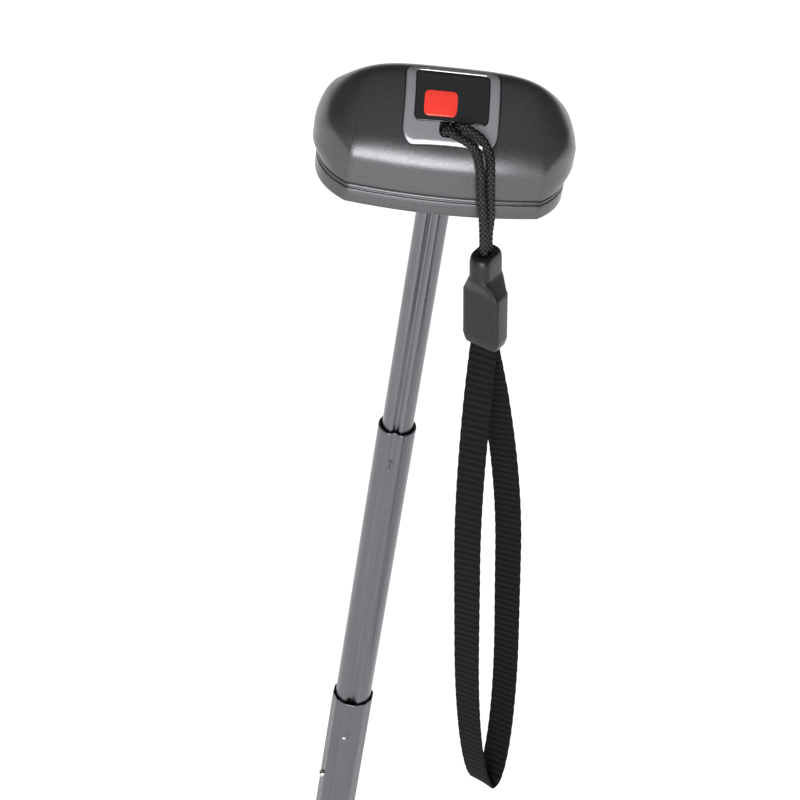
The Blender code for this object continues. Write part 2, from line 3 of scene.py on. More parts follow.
import bmesh
import bpy
import numpy as np
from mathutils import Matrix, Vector


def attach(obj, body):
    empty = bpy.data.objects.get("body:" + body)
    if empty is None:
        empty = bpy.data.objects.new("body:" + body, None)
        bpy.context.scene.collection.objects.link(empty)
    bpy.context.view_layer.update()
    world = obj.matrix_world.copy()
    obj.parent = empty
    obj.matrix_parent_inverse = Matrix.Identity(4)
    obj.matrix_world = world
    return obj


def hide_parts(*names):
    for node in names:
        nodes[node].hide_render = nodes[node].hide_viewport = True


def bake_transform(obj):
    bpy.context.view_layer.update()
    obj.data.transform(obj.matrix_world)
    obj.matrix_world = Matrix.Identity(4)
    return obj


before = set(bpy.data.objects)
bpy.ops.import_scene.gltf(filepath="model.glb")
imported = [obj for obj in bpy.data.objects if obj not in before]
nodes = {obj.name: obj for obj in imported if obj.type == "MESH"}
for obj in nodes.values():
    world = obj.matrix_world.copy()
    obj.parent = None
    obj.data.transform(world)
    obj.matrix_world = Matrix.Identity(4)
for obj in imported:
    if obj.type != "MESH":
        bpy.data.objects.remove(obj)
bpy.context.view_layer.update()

# Sizes below are in millimetres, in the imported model's frame; MM turns them into metres.
MM = 0.001
scene = bpy.context.scene

# ---- camera ------------------------------------------------------------------------------------
CAMERA_AT = Vector((-58.83, -482.89, 601.90)) * MM
CAMERA_RIGHT = Vector((0.99128, -0.02157, 0.12996))
CAMERA_UP = Vector((-0.09018, 0.60806, 0.78875))
camera_data = bpy.data.cameras.new("camera")
camera_data.lens, camera_data.sensor_width = 108.0, 36.0
camera_data.clip_start, camera_data.clip_end = 0.02, 20.0
camera = bpy.data.objects.new("camera", camera_data)
scene.collection.objects.link(camera)
scene.camera = camera
back = CAMERA_RIGHT.cross(CAMERA_UP).normalized()
up = back.cross(CAMERA_RIGHT).normalized()
turn = np.eye(4)
turn[:3, 0], turn[:3, 1], turn[:3, 2], turn[:3, 3] = back.cross(up) * -1, up, back, CAMERA_AT
camera.matrix_world = turn.T.tolist()


# ---- nodes -------------------------------------------------------------------------------------
class Shader:
    """One material, built round a Principled shader, in object coordinates."""

    def __init__(self, name, **constants):
        self.mat = bpy.data.materials.new(name)
        self.mat.use_nodes = True
        self.tree = self.mat.node_tree
        self.main = self.tree.nodes["Principled BSDF"]
        self.place = self.node("ShaderNodeTexCoord").outputs["Object"]
        self.heights = []
        for key, value in constants.items():
            self.main.inputs[key.replace("_", " ")].default_value = value

    def node(self, kind, **settings):
        made = self.tree.nodes.new(kind)
        for key, value in settings.items():
            setattr(made, key, value)
        return made

    def link(self, source, target):
        self.tree.links.new(source, target)

    def stretched(self, factors):
        mapping = self.node("ShaderNodeMapping")
        mapping.inputs["Scale"].default_value = factors
        self.link(self.place, mapping.inputs["Vector"])
        return mapping.outputs["Vector"]

    def noise(self, grain_mm, detail=2.0, stretch=(1, 1, 1), rough=0.5):
        """Noise whose blobs are about grain_mm across."""
        noise = self.node("ShaderNodeTexNoise")
        noise.inputs["Scale"].default_value = 1.0 / (grain_mm * MM)
        noise.inputs["Detail"].default_value = detail
        noise.inputs["Roughness"].default_value = rough
        self.link(self.stretched(stretch), noise.inputs["Vector"])
        return noise.outputs["Fac"]

    def spread(self, value, low, high, at_low, at_high):
        """Maps low..high of a value to at_low..at_high."""
        node = self.node("ShaderNodeMapRange")
        for socket, number in zip(node.inputs[1:5], (low, high, at_low, at_high)):
            socket.default_value = number
        self.link(value, node.inputs[0])
        return node.outputs[0]

    def math(self, operation, a, b):
        node = self.node("ShaderNodeMath", operation=operation)
        for socket, value in zip(node.inputs, (a, b)):
            if isinstance(value, (int, float)):
                socket.default_value = value
            else:
                self.link(value, socket)
        return node.outputs[0]

    def blend(self, fac, first, second, mode="MIX"):
        node = self.node("ShaderNodeMix", data_type="RGBA", blend_type=mode)
        self.link(fac, node.inputs[0])
        for socket, value in ((node.inputs[6], first), (node.inputs[7], second)):
            if isinstance(value, tuple):
                socket.default_value = (*value, 1.0)
            else:
                self.link(value, socket)
        return node.outputs[2]

    def colour(self, output):
        self.link(output, self.main.inputs["Base Color"])
        return self

    def rough(self, output):
        self.link(output, self.main.inputs["Roughness"])
        return self

    def bump(self, height, depth_mm, strength=1.0):
        node = self.node("ShaderNodeBump")
        node.inputs["Strength"].default_value = strength
        node.inputs["Distance"].default_value = depth_mm * MM
        self.link(height, node.inputs["Height"])
        if self.heights:
            self.link(self.heights[-1], node.inputs["Normal"])
        self.heights.append(node.outputs["Normal"])
        self.link(node.outputs["Normal"], self.main.inputs["Normal"])
        return self


def grip_paint():
    """Anthracite metallic paint: fine flakes, slight orange peel, faint cloudiness."""
    s = Shader("grip_paint", Metallic=0.72, Coat_Weight=0.1, Coat_Roughness=0.25)
    flake = s.noise(0.22, 3.0)
    cloud = s.noise(9.0, 2.0)
    base = s.blend(s.spread(flake, 0.38, 0.66, 0.0, 1.0), (0.072, 0.073, 0.077), (0.114, 0.115, 0.121))
    s.colour(s.blend(s.spread(cloud, 0.35, 0.65, 0.0, 0.35), base, (0.086, 0.087, 0.092)))
    s.rough(s.spread(s.noise(0.5, 2.0), 0.3, 0.7, 0.28, 0.36))
    return s.bump(flake, 0.006, 0.35).bump(s.noise(1.6), 0.004, 0.3).mat


def tube_metal(name, shade):
    """Satin drawn metal with fine lengthwise die lines."""
    s = Shader(name, Metallic=1.0)
    lines = s.noise(0.30, 3.0, (1, 1, 0.012))
    patches = s.noise(6.0, 2.0, (1, 1, 0.3))
    base = s.blend(s.spread(lines, 0.35, 0.65, 0.0, 1.0),
                   tuple(c * 0.90 for c in shade), tuple(c * 1.08 for c in shade))
    s.colour(s.blend(s.spread(patches, 0.4, 0.7, 0.0, 0.25), base, tuple(c * 0.93 for c in shade)))
    s.rough(s.spread(s.noise(0.8, 3.0, (1, 1, 0.05)), 0.3, 0.7, 0.24, 0.33))
    return s.bump(lines, 0.004, 0.3).mat


def badge_silver():
    s = Shader("badge_silver", Metallic=0.85, Coat_Weight=0.2, Coat_Roughness=0.2)
    flake = s.noise(0.16, 3.0)
    s.colour(s.blend(s.spread(flake, 0.36, 0.66, 0.0, 1.0), (0.50, 0.51, 0.54), (0.66, 0.67, 0.71)))
    s.rough(s.spread(s.noise(0.4, 2.0), 0.3, 0.7, 0.28, 0.37))
    return s.bump(flake, 0.004, 0.3).mat


def panel_black():
    s = Shader("panel_black", Coat_Weight=0.6, Coat_Roughness=0.03, IOR=1.5)
    dust = s.noise(0.35, 4.0, rough=0.7)
    s.colour(s.blend(s.spread(dust, 0.62, 0.78, 0.0, 0.6), (0.008, 0.009, 0.010), (0.030, 0.031, 0.033)))
    s.rough(s.spread(s.noise(2.5, 3.0), 0.3, 0.7, 0.06, 0.12))
    return s.bump(s.noise(3.0), 0.008, 0.2).mat


def tile_red():
    s = Shader("tile_red", Coat_Weight=0.3, Coat_Roughness=0.08)
    s.colour(s.blend(s.spread(s.noise(0.8, 3.0), 0.35, 0.65, 0.0, 1.0),
                     (0.93, 0.040, 0.028), (1.0, 0.055, 0.036)))
    s.rough(s.spread(s.noise(1.2, 2.0), 0.3, 0.7, 0.24, 0.34))
    return s.bump(s.noise(0.5), 0.003, 0.3).mat


def moulded_plastic(name, dark, light, rough, grain_mm=0.25):
    s = Shader(name, IOR=1.40)
    grain = s.noise(grain_mm, 3.0)
    worn = s.noise(2.2, 4.0, rough=0.65)
    s.colour(s.blend(s.spread(worn, 0.42, 0.72, 0.0, 0.8), dark, light))
    s.rough(s.spread(worn, 0.3, 0.7, rough - 0.05, rough + 0.07))
    return s.bump(grain, 0.012, 0.35).mat


def bright_steel(name="bright_steel", shade=(0.72, 0.70, 0.66), rough=0.10):
    s = Shader(name, Metallic=1.0)
    s.colour(s.blend(s.spread(s.noise(0.6, 3.0), 0.35, 0.7, 0.0, 1.0), shade, tuple(c * 0.86 for c in shade)))
    s.rough(s.spread(s.noise(0.3, 2.0), 0.3, 0.7, rough, rough + 0.08))
    return s.bump(s.noise(0.25), 0.002, 0.25).mat


def cord_braid():
    """Polyester braid with fine lengthwise fibres; the raised strands get a painted highlight, a paler colour
    on their crests.
    """
    s = Shader("cord_braid", IOR=1.3)
    raised = s.node("ShaderNodeAttribute", attribute_name="raised").outputs["Fac"]
    fibre = s.noise(0.12, 3.0)
    # Painted highlight: the top of each raised strand is coloured paler, standing in for light catching the
    # crests.
    strand_highlight = s.math("MULTIPLY", s.spread(raised, 0.62, 1.0, 0.0, 1.0), s.spread(fibre, 0.42, 0.66, 0.0, 1.0))
    s.colour(s.blend(strand_highlight, (0.003, 0.003, 0.0035), (0.16, 0.16, 0.15)))
    s.rough(s.spread(fibre, 0.3, 0.7, 0.52, 0.72))
    return s.bump(fibre, 0.03, 0.4).mat


def strap_webbing():
    """Black nylon webbing with a fine warp; painted highlight on the rib crests, which are coloured paler
    where they stand highest.
    """
    s = Shader("strap_webbing", IOR=1.22)
    raised = s.node("ShaderNodeAttribute", attribute_name="raised").outputs["Fac"]
    fibre = s.noise(0.16, 3.0)
    # Painted highlight: the rib crests are coloured paler, standing in for light catching them.
    rib_highlight = s.math("MULTIPLY", s.spread(raised, 0.4, 1.0, 0.0, 1.0), s.spread(fibre, 0.3, 0.7, 0.2, 1.0))
    s.colour(s.blend(rib_highlight, (0.0014, 0.0014, 0.0017), (0.011, 0.011, 0.012)))
    s.rough(s.spread(fibre, 0.3, 0.7, 0.62, 0.82))
    return s.bump(fibre, 0.04, 0.4).mat


def pale_floor():
    s = Shader("pale_floor")
    s.colour(s.blend(s.spread(s.noise(60.0), 0.3, 0.7, 0.0, 1.0), (0.55, 0.55, 0.55), (0.57, 0.57, 0.57)))
    s.main.inputs["Roughness"].default_value = 0.9
    s.main.inputs["Emission Color"].default_value = (1, 1, 1, 1)
    s.main.inputs["Emission Strength"].default_value = FLOOR_GLOW
    return s.mat


FLOOR_GLOW = 0.95
PAINT = grip_paint()
SILVER, GLOSS_BLACK, RED = badge_silver(), panel_black(), tile_red()
TUBE_OUTER = tube_metal("tube_metal_outer", (0.142, 0.143, 0.156))
TUBE_MID = tube_metal("tube_metal_mid", (0.150, 0.151, 0.165))
TUBE_INNER = tube_metal("tube_metal_inner", (0.170, 0.170, 0.183))
PLASTIC = moulded_plastic("clip_plastic", (0.006, 0.006, 0.007), (0.011, 0.011, 0.012), 0.36)
BUSH = moulded_plastic("bush_plastic", (0.030, 0.030, 0.031), (0.045, 0.045, 0.046), 0.5)
STEEL = bright_steel()
BRAID, WEBBING = cord_braid(), strap_webbing()


# ---- mesh helpers ------------------------------------------------------------------------------
def piece(name, mat, body, replaced=()):
    """Finish a piece: it rides on a body, takes its finish from a slot and stands for CAD nodes."""
    def done(obj):
        obj.data.materials.clear()
        obj.data.materials.append(mat)
        if body:
            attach(obj, body)
        if replaced:
            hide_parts(*replaced)
        return obj
    return done


def solid(name, points, faces, angle=40.0):
    """Closed mesh from mm points, its faces turned outwards."""
    mesh = bpy.data.meshes.new(name)
    mesh.from_pydata([tuple(c * MM for c in p) for p in points], [], faces)
    bm = bmesh.new()
    bm.from_mesh(mesh)
    bmesh.ops.recalc_face_normals(bm, faces=bm.faces)
    if bm.calc_volume(signed=True) < 0.0:
        bmesh.ops.reverse_faces(bm, faces=bm.faces)
    bm.to_mesh(mesh)
    bm.free()
    mesh.shade_smooth()
    mesh.set_sharp_from_angle(angle=math.radians(angle))
    obj = bpy.data.objects.new(name, mesh)
    scene.collection.objects.link(obj)
    return obj


def loft(name, rings, join=False, angle=40.0):
    """Skin equal rings of mm points; join closes the last ring on the first, else both are capped."""
    rows, count = len(rings), len(rings[0])
    faces = []
    for r in range(rows if join else rows - 1):
        a, b = r * count, (r + 1) % rows * count
        faces += [(a + i, a + (i + 1) % count, b + (i + 1) % count, b + i) for i in range(count)]
    if not join:
        faces += [tuple(reversed(range(count))), tuple(range((rows - 1) * count, rows * count))]
    return solid(name, [p for ring in rings for p in ring], faces, angle)


def carve(obj, cutters, angle=40.0):
    """Subtract the cutters for good, then delete them."""
    for tool in cutters:
        mod = obj.modifiers.new(tool.name, "BOOLEAN")
        mod.operation, mod.solver, mod.object = "DIFFERENCE", "EXACT", tool
    ready = obj.evaluated_get(bpy.context.evaluated_depsgraph_get())
    mesh = bpy.data.meshes.new_from_object(ready)
    obj.modifiers.clear()
    obj.data = mesh
    mesh.shade_smooth()
    mesh.set_sharp_from_angle(angle=math.radians(angle))
    for tool in cutters:
        bpy.data.objects.remove(tool, do_unlink=True)
    return obj


def rod(name, radius, start, end, sides=48):
    a, b = Vector(start), Vector(end)
    spin = (b - a).to_track_quat("Z", "Y")
    rings = []
    for centre in (a, b):
        rings.append([centre + spin @ Vector((radius * math.cos(k * math.tau / sides),
                                              radius * math.sin(k * math.tau / sides), 0))
                      for k in range(sides)])
    return loft(name, rings)


def lathe(name, profile, origin, axis, sides=64):
    """Turned solid: profile rows are (along, radius) from origin along axis."""
    axis = Vector(axis).normalized()
    spin = axis.to_track_quat("Z", "Y")
    rings = [[Vector(origin) + axis * along + spin @ Vector((radius * math.cos(k * math.tau / sides),
                                                           radius * math.sin(k * math.tau / sides), 0))
              for k in range(sides)] for along, radius in profile]
    return loft(name, rings)


def smooth_path(points, step):
    """Catmull-Rom curve through points, read every step mm."""
    pts = [Vector(p) for p in points]
    pts = [pts[0] * 2 - pts[1]] + pts + [pts[-1] * 2 - pts[-2]]
    fine = []
    for a, b, c, d in zip(pts, pts[1:], pts[2:], pts[3:]):
        for k in range(80):
            t = k / 80
            fine.append(0.5 * (2 * b + (c - a) * t + (2 * a - 5 * b + 4 * c - d) * t * t
                               + (3 * b - a - 3 * c + d) * t ** 3))
    fine.append(pts[-2])
    walked = [0.0]
    for p, q in zip(fine, fine[1:]):
        walked.append(walked[-1] + (q - p).length)
    count = max(2, round(walked[-1] / step))
    marks = np.linspace(0.0, walked[-1], count + 1)
    table = np.array([tuple(p) for p in fine])
    return [Vector(p) for p in np.stack([np.interp(marks, walked, table[:, k]) for k in range(3)], 1)]


def smoothstep(t):
    t = min(1.0, max(0.0, t))
    return t * t * (3 - 2 * t)


# ---- sizes shared with the frame ---------------------------------------------------------------
PLUG_LIP = 3.0
OUTER_R, OUTER_WALL, OUTER_MOUTH = 5.7, 0.35, 133.0
MID_R, MID_WALL, MID_MOUTH = 4.9, 0.35, 228.5
INNER_R, INNER_WALL, INNER_TOP = 4.0, 0.35, 318.5
OVERLAP = 22.0
FLUTE_MID, FLUTE_INNER, FLUTE_HALF = 0.95, 1.05, 26.0
TUBE_TURN = -10.0
DIMPLE_OUTER_Z, DIMPLE_MID_Z = 120.7, 219.4
CATCH_Z, CATCH_TURN, CATCH_R = 101.8, 200.0, 1.1
G = 303.6                                              # underside of the grip
CORNER_X, HALF_Y, END_X, BULGE = 22.6, 15.0, 30.8, 2.2
LOWER_H, FACET_H, DOME_H = 4.75, 9.5, 13.8
DOME_PY, DOME_PX, EDGE_R = 1.8, 4.5, 2.6
TUCK, SHELL_WALL = 1.3, 2.2
BADGE = (-11.4, 10.4, -14.7, 0.9)
PANEL = (-8.9, 7.8, -11.3, -0.5)
TILE = (-7.0, 0.6, -10.6, -6.0)
HOLE = (-3.2, 2.0, -13.95, -11.05)
CORD_D = 2.2
STRAP_X, STRAP_Y, STRAP_DROP, STRAP_TURN = 11.5, -19.1, 7.3, math.radians(-32.0)
NECK_W, NECK_T, CLIP_W, CLIP_T = 5.4, 9.4, 9.8, 6.2
NECK_END, SHOULDER_END, CLIP_END = 6.0, 10.9, 26.0
WEB_W, WEB_T, WEB_TOP, LEGS_END, WEB_END = 7.2, 1.0, 19.8, 124.0, 177.5
NEAR_SPREAD, FAR_SPREAD, SPREAD_TURN = 5.2, 8.7, math.radians(-143.0)
LEAN = math.radians(8.2)
PIVOT = Vector((8.4, -18.3, G + 13.0))
STRAND = 1.15


# ---- grip surface ------------------------------------------------------------------------------
def soft_power(value, power, soft=0.1):
    """|value| ** power with its point at zero rounded off."""
    low = soft ** power
    return ((value * value + soft * soft) ** (power / 2) - low) / ((1 + soft * soft) ** (power / 2) - low)


def bow(x, corner=CORNER_X):
    """How far the front and back stand out beyond the corners at x."""
    return BULGE * max(0.0, 1.0 - (x / corner) ** 2)


def dome(x, y, lift=0.0):
    """Height of the grip's unrounded top above its underside."""
    across = max(0.0, 1.0 - soft_power(y / (HALF_Y + bow(x)), DOME_PY))
    along = max(0.0, 1.0 - abs(x / END_X) ** DOME_PX)
    return LOWER_H + FACET_H + DOME_H * across * along + lift


def surface(x, y, lift=0.0):
    into = min(1.0, max(0.0, (HALF_Y + bow(x) - abs(y)) / EDGE_R))
    return dome(x, y, lift) - EDGE_R * (1.0 - math.sqrt(1.0 - (1.0 - into) ** 2))


def above(x, y, height):
    """A point height mm off the dome's skin, square to it."""
    slope = Vector((-(dome(x + 0.05, y) - dome(x - 0.05, y)) / 0.1,
                    -(dome(x, y + 0.05) - dome(x, y - 0.05)) / 0.1, 1.0)).normalized()
    return Vector((x, y, G + surface(x, y))) + slope * height


# ---- strap cord --------------------------------------------------------------------------------
STRAP_WIDE = Vector((math.cos(STRAP_TURN), math.sin(STRAP_TURN), 0.0))
STRAP_FACE = Vector((math.sin(STRAP_TURN), -math.cos(STRAP_TURN), 0.0))


def strap_point(down, across=0.0, out=0.0):
    """Point on the hanging strap, down mm under the clip's top; across and out follow its turn."""
    centre = Vector((STRAP_X + math.sin(LEAN) * down, STRAP_Y,
                     G - STRAP_DROP - math.cos(LEAN) * down))
    return centre + STRAP_WIDE * across + STRAP_FACE * out


def hanging_strand(side):
    """From the pivot at the grip's edge down into the clip; side is +1 for the left strand."""
    turned = [Vector((-math.cos(math.radians(k)), -math.sin(math.radians(k)), 0)) * STRAND * side
              for k in (12, 36)]
    return [PIVOT + Vector((-STRAND * side, 0, 0)), PIVOT + turned[0] + Vector((0.6, -0.2, -4.0)),
            PIVOT + turned[1] + Vector((1.9, -0.5, -11.0)),
            strap_point(-4.0, 0, STRAND * side), strap_point(1.8, 0, STRAND * side)]


over_edge = [above(8.7, -15.3, 1.35), above(6.6, -13.6, 1.65), above(3.9, -12.6, 1.75),
             Vector((2.35, -13.3, G + 21.95)), Vector((1.1, -12.8, G + 21.2)),
             Vector((0.65, -12.6, G + 19.5)), Vector((0.6, -12.5, G + 17.4))]
round_pin = [Vector((0.6, -12.45, G + 15.0)), Vector((0.6, -12.2, G + 12.6)),
             Vector((0.45, -11.3, G + 10.3)), Vector((0.1, -9.6, G + 9.3)),
             Vector((-0.6, -7.8, G + 10.2)), Vector((-1.15, -7.3, G + 12.0)),
             Vector((-1.5, -8.2, G + 13.6)), Vector((-1.75, -10.1, G + 14.3)),
             Vector((-1.8, -11.7, G + 15.3)), Vector((-1.8, -12.45, G + 17.2))]
back_over = [Vector((-1.8, -12.7, G + 19.2)), Vector((-1.55, -13.3, G + 20.6)),
             Vector((-0.75, -14.1, G + 21.0)), above(0.5, -13.5, 1.8),
             above(2.9, -14.15, 1.7), above(5.4, -15.1, 1.45)]
cord_route = list(reversed(hanging_strand(-1))) + over_edge + round_pin + back_over + hanging_strand(1)


def carried_frames(path):
    """Unit side and rise vectors square to a path, carried along it without twisting."""
    rise, out = Vector((0.0, -1.0, 0.0)), []
    for n, p in enumerate(path):
        run = (path[min(len(path) - 1, n + 1)] - path[max(0, n - 1)]).normalized()
        rise = (rise - run * rise.dot(run)).normalized()
        out.append((run.cross(rise), rise))
    return out


CARRIERS, LAY_LENGTH, BRAID_DEPTH = 6, 8.0, 0.2       # braid: strands each way, mm a turn, relief


def braid_height(angle, along):
    """0 in the gaps to 1 on top of whichever strand is uppermost here."""
    right = CARRIERS * (angle / math.tau + along / LAY_LENGTH)
    left = CARRIERS * (angle / math.tau - along / LAY_LENGTH)
    over = (math.floor(right) + math.floor(left)) % 2 == 0
    width, length = (right, left) if over else (left, right)
    crown = math.sin(math.pi * (width % 1.0)) ** 0.6
    return crown * (0.35 + 0.65 * math.sin(math.pi * (length % 1.0)))


# Stores each point's relief as the 'raised' attribute; the braid and webbing materials paint a highlight on
# its high values.
def put_raised(obj, values):
    attribute = obj.data.attributes.new("raised", "FLOAT", "POINT")
    attribute.data.foreach_set("value", np.array(values, np.float32))


def braided_cord():
    path = smooth_path(cord_route, 0.13)
    rings, values, sides = [], [], 40
    for n, (p, (side, rise)) in enumerate(zip(path, carried_frames(path))):
        ring = []
        for k in range(sides):
            angle = k * math.tau / sides
            height = braid_height(angle, n * 0.13)
            values.append(height)
            reach = CORD_D / 2 - BRAID_DEPTH * (1.0 - height)
            ring.append(p + side * (reach * math.cos(angle)) + rise * (reach * math.sin(angle)))
        rings.append(ring)
    obj = loft("strap_cord", rings, angle=80)
    put_raised(obj, values)
    return obj, [p * MM for p in path]


cord, cord_path = braided_cord()
piece("strap_cord", BRAID, None,
      ("strap_cord_top", "strap_cord_left", "strap_cord_right"))(cord)
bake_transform(cord)


# ---- strap webbing -----------------------------------------------------------------------------
RIB_PITCH, RIB_DEPTH = 1.9, 0.10


WEB_TURNS = ((0.0, 26.0, 42.0, 100.0, 150.0, 180.0), (-32.0, -32.0, -20.0, -24.0, -32.0, -34.0))
SPREAD = Vector((math.cos(SPREAD_TURN), math.sin(SPREAD_TURN), 0.0))


def leg_shift(down, side):
    """How far a leg stands off the strap's middle; side is +1 for the near leg."""
    opened = min(1.0, max(0.0, (down - CLIP_END - 1.0) / 70.0))
    reach = NEAR_SPREAD if side > 0 else FAR_SPREAD
    return (STRAP_FACE * (0.65 * (1.0 - opened)) + SPREAD * (reach * math.sin(opened * math.pi / 2))) * side


def webbing_route():
    levels = [WEB_TOP + (LEGS_END - WEB_TOP) * k / 40 for k in range(41)]
    near, far = leg_shift(LEGS_END, 1), leg_shift(LEGS_END, -1)
    path = [strap_point(d) + leg_shift(d, 1) for d in levels]
    for k in range(1, 20):
        path.append(strap_point(LEGS_END + (WEB_END - LEGS_END) * math.sin(math.pi * k / 20))
                    + (near + far) / 2 + (near - far) / 2 * math.cos(math.pi * k / 20))
    return path + [strap_point(d) + leg_shift(d, -1) for d in reversed(levels)]


def width_at(p):
    """Direction of the webbing's width at a point; it is twisted a little as it hangs."""
    down = (G - STRAP_DROP - p.z) / math.cos(LEAN)
    turn = math.radians(float(np.interp(down, *WEB_TURNS)))
    return Vector((math.cos(turn), math.sin(turn), 0.0))


def webbing_section(count=13):
    """Round-edged strip section as (across, through) shares of half the width and thickness."""
    face = [(-0.9 + 1.8 * k / (count - 1), -1.0) for k in range(count)]
    edge = [(0.9 + 0.1 * math.sin(k * math.pi / 6), -math.cos(k * math.pi / 6)) for k in range(1, 6)]
    half = face + edge
    return half + [(-x, -y) for x, y in half]


def webbing_strip():
    step = 0.19
    path = smooth_path(webbing_route(), step)
    section = webbing_section()
    rings, values = [], []
    for n, p in enumerate(path):
        run = (path[min(len(path) - 1, n + 1)] - path[max(0, n - 1)]).normalized()
        wide = width_at(p)
        wide = (wide - run * wide.dot(run)).normalized()
        through = run.cross(wide)
        ring = []
        for sx, st in section:
            along = n * step / RIB_PITCH + (0.5 if st > 0 else 0.0)
            rib = 0.5 + 0.5 * math.cos(math.tau * along)
            warp = 0.5 + 0.5 * math.cos(math.tau * sx * 6.5)
            values.append(rib * (0.4 + 0.6 * warp))
            half_t = WEB_T / 2 - RIB_DEPTH * (1.0 - rib) - 0.03 * (1.0 - warp)
            scallop = 1.0 - 0.028 * (1.0 - abs(math.sin(math.pi * n * step / 3.9)))
            ring.append(p + wide * (sx * WEB_W / 2 * scallop) + through * (st * half_t))
        rings.append(ring)
    obj = loft("strap_band", rings, angle=80)
    put_raised(obj, values)
    return obj, [p * MM for p in path]


band, band_path = webbing_strip()
piece("strap_band", WEBBING, None, ("strap_webbing",))(band)
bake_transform(band)


# ---- strap clip --------------------------------------------------------------------------------
def clip_ring(down, half_w, half_t, radius, per_corner=9):
    """Rounded rectangle round the strap's line."""
    points = []
    radius = min(radius, half_w - 0.02, half_t - 0.02)
    for n, (sx, sy) in enumerate(((1, 1), (-1, 1), (-1, -1), (1, -1))):
        for k in range(per_corner):
            angle = math.radians(90 * n + 90 * k / (per_corner - 1))
            points.append(strap_point(down, sx * (half_w - radius) + radius * math.cos(angle),
                                      sy * (half_t - radius) + radius * math.sin(angle)))
    return points


NECK_ROUND = 2.2                                       # edge radius of the neck
neck_w, neck_t, body_w, body_t = NECK_W / 2, NECK_T / 2, CLIP_W / 2, CLIP_T / 2
neck_rows = []
for k in range(15):
    t = k / 14
    arch = math.sqrt(max(0.0, 1.0 - (1.0 - t) ** 2))
    neck_rows.append(clip_ring(2.9 * t * t, neck_w * (0.62 + 0.38 * arch),
                               neck_t * (0.50 + 0.50 * arch), NECK_ROUND))
neck_rows += [clip_ring(d, neck_w, neck_t, NECK_ROUND) for d in (3.6, 4.4, 5.2, NECK_END - 0.2)]
neck_rows += [clip_ring(NECK_END - 0.02, neck_w, neck_t, NECK_ROUND)]
neck = loft("clip_neck", neck_rows, angle=50)
neck = carve(neck, [rod(f"clip_cord_cut_{side}", CORD_D / 2 + 0.05, strap_point(-2, 0, STRAND * side),
                        strap_point(2.3, 0, STRAND * side)) for side in (1, -1)], angle=50)
piece("clip_neck", PLASTIC, "strap", ("strap_clip_neck",))(neck)

body_rows = [clip_ring(NECK_END + 0.02, neck_w, neck_t, NECK_ROUND)]
for k in range(1, 13):
    t = k / 12
    body_rows.append(clip_ring(NECK_END + 0.2 + (SHOULDER_END - NECK_END) * t, neck_w + (body_w - neck_w) * t,
                               neck_t + (body_t - neck_t) * smoothstep(t), NECK_ROUND - 0.9 * t))
body_rows += [clip_ring(d, body_w, body_t, 1.3) for d in (11.6, 14.0, 17.0, 20.0, 22.6, 23.2)]
body_rows += [clip_ring(23.4 + 2.3 * t, body_w - 0.55 * t ** 1.4, body_t - 0.3 * t ** 1.4, 1.2)
              for t in (0.0, 0.2, 0.4, 0.6, 0.8, 1.0)]
body_rows += [clip_ring(CLIP_END - 0.12, 4.22, 2.68, 1.0), clip_ring(CLIP_END, 4.05, 2.5, 0.9)]
body = loft("clip_body", body_rows, angle=50)
slot_rows = [[strap_point(d, x, y) for x, y in ((-3.7, -1.4), (3.7, -1.4), (3.7, 1.4), (-3.7, 1.4))]
             for d in (WEB_TOP - 0.5, CLIP_END + 2.0)]
body = carve(body, [loft("clip_web_cut", slot_rows)], angle=50)
piece("clip_body", PLASTIC, "strap", ("strap_clip_body",))(body)


# ---- tubes -------------------------------------------------------------------------------------
STEPS = 240


def fluted(radius, flute):
    """Round section with one rounded flute at the front, as (angle, radius) pairs."""
    section = []
    for i in range(STEPS):
        ang = i * 360.0 / STEPS
        off = abs((ang - 270.0 + 180.0) % 360.0 - 180.0) / FLUTE_HALF
        dip = flute * math.cos(off * math.pi / 2) ** 2 if off < 1 else 0.0
        section.append((ang, radius - dip))
    return section


def faceted(corner_r, inset=0.0):
    flat = corner_r * math.cos(math.pi / 12) - inset
    return [(i * 360.0 / STEPS,
             flat / math.cos(math.radians((i * 360.0 / STEPS + 15.0) % 30.0 - 15.0))) for i in range(STEPS)]


def tube_ring(section, z, shrink=0.0, dent=None):
    points = []
    for ang, radius in section:
        if dent:
            across = ((ang - 270.0 + 180.0) % 360.0 - 180.0) * math.pi / 180.0 * radius
            radius -= dent(across, z)
        turned = math.radians(ang + TUBE_TURN)
        points.append(((radius - shrink) * math.cos(turned), (radius - shrink) * math.sin(turned), z))
    return points


def tube(name, section, wall, low, mouth, dent=None, dent_z=0.0, roll=0.0):
    """Open tube, its mouth rolled in by roll; its rows crowd together round the dent."""
    levels = [low, low + 2] + list(np.arange(low + 6, mouth - 2, 6.0)) + [mouth - 0.45]
    if dent:
        levels = [z for z in levels if abs(z - dent_z) > 3.4]
        levels += list(np.arange(dent_z - 3.2, dent_z + 3.3, 0.16))
    rings = [tube_ring(section, z, 0.0, dent) for z in sorted(levels)]
    lip = (wall + roll) / 2
    for k in range(1, 13):
        a = k * math.pi / 12
        rings.append(tube_ring(section, mouth - lip + lip * math.sin(a), lip * (1 - math.cos(a))))
    rings += [tube_ring(section, mouth - lip - 0.3, wall + roll), tube_ring(section, mouth - lip - 0.8, wall),
              tube_ring(section, mouth - 3.0, wall), tube_ring(section, low, wall)]
    return loft(name, rings, join=True, angle=50)


def round_dimple(across, z):
    """Shallow pressed dimple with a flat floor and a slightly raised lower lip."""
    reach = math.hypot(across, z - DIMPLE_OUTER_Z) / 1.35
    return 0.34 * (1.0 - smoothstep((reach - 0.55) / 0.45)) if reach < 1 else 0.0


